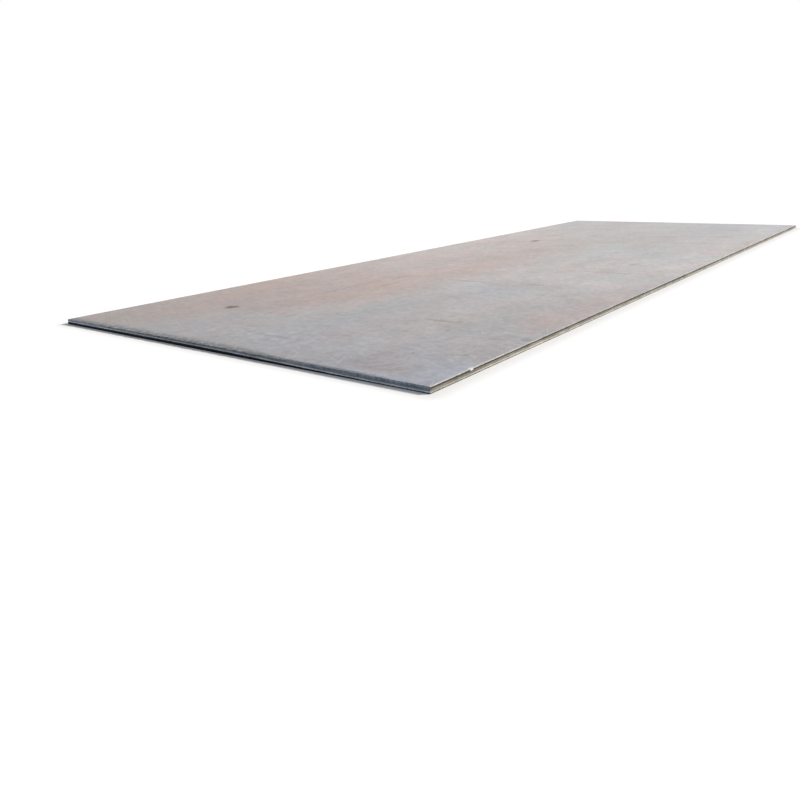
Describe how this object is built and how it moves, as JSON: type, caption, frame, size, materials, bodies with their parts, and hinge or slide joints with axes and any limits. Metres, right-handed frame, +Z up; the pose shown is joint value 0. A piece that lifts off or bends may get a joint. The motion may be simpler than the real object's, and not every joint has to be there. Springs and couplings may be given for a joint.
{
  "type": "steel plate",
  "caption": "Flat rectangular hot-rolled steel plate, sold as raw stock, with sheared edges and a mill-scale surface, for cutting and welding into structures.",
  "frame": {"origin": "centre of the underside, on the floor that the plate lies on", "axes": "+X across the plate's width, +Y along its length, +Z up through its thickness"},
  "size_m": [2.2, 6, 0.0255],
  "materials": {
    "mill_scale_steel": "dull mill scale with a brownish tint on the faces, bare sheared metal on the edges"
  },
  "bodies": {
    "root": {"steel_plate": "mill_scale_steel"}
  },
  "joints": []
}
